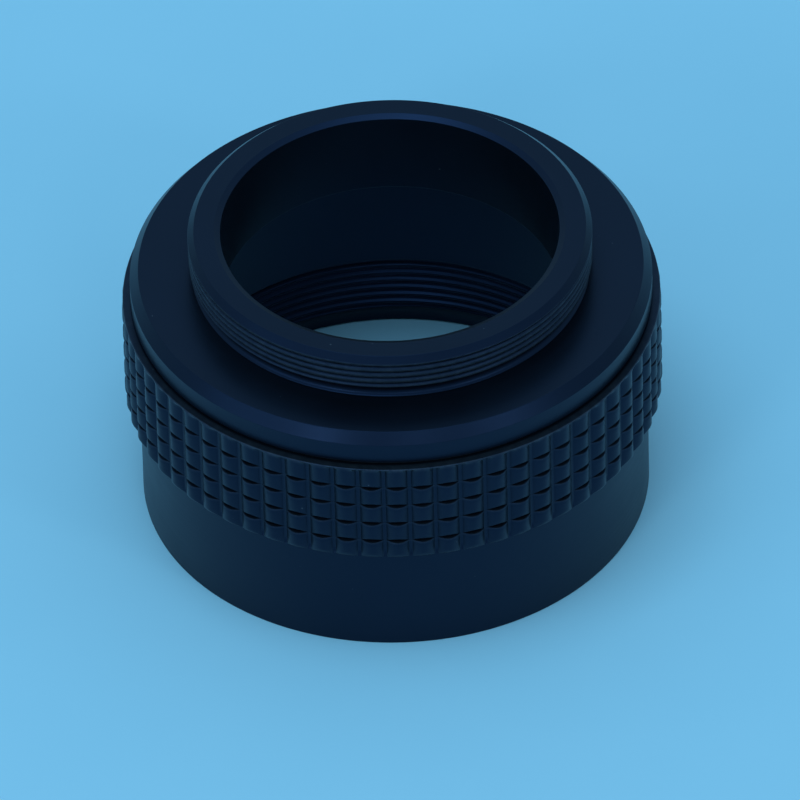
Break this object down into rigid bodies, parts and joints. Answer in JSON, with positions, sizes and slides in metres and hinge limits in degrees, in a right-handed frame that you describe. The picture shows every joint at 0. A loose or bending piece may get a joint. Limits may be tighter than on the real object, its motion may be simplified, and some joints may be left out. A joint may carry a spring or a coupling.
{
  "type": "barlow camera adapter",
  "caption": "Open black adapter ring: male T-thread neck, knurled grip, female thread. Its swivel and inner pieces are guesses; the real ring is likely one piece.",
  "frame": {"origin": "centre of the base plane, on the optical axis", "axes": "+Z along the optical axis towards the camera, +X to the right, +Y to the back"},
  "size_m": [0.056, 0.056, 0.0342],
  "materials": {
    "collar_anodised": "black anodised, satin",
    "flange_anodised": "black anodised, satin, lathe marks",
    "washer_black": "matte",
    "seal_rubber": "matte",
    "washer_white": "waxy",
    "spring_steel": "rolled strip",
    "ring_anodised": "black anodised, matte"
  },
  "bodies": {
    "collar": {"coupling_collar": "collar_anodised", "lower_glide_washer": "washer_white"},
    "camera_flange": {"t_thread_flange": "flange_anodised", "upper_glide_washer": "washer_black", "light_seal_ring": "seal_rubber", "wave_spring": "spring_steel", "retaining_ring": "ring_anodised"}
  },
  "joints": [
    {"name": "flange_turn", "type": "hinge", "parent": "collar", "child": "camera_flange", "pos_m": [0, 0, 0.0243], "axis": [0, 0, 1], "continuous": true}
  ]
}
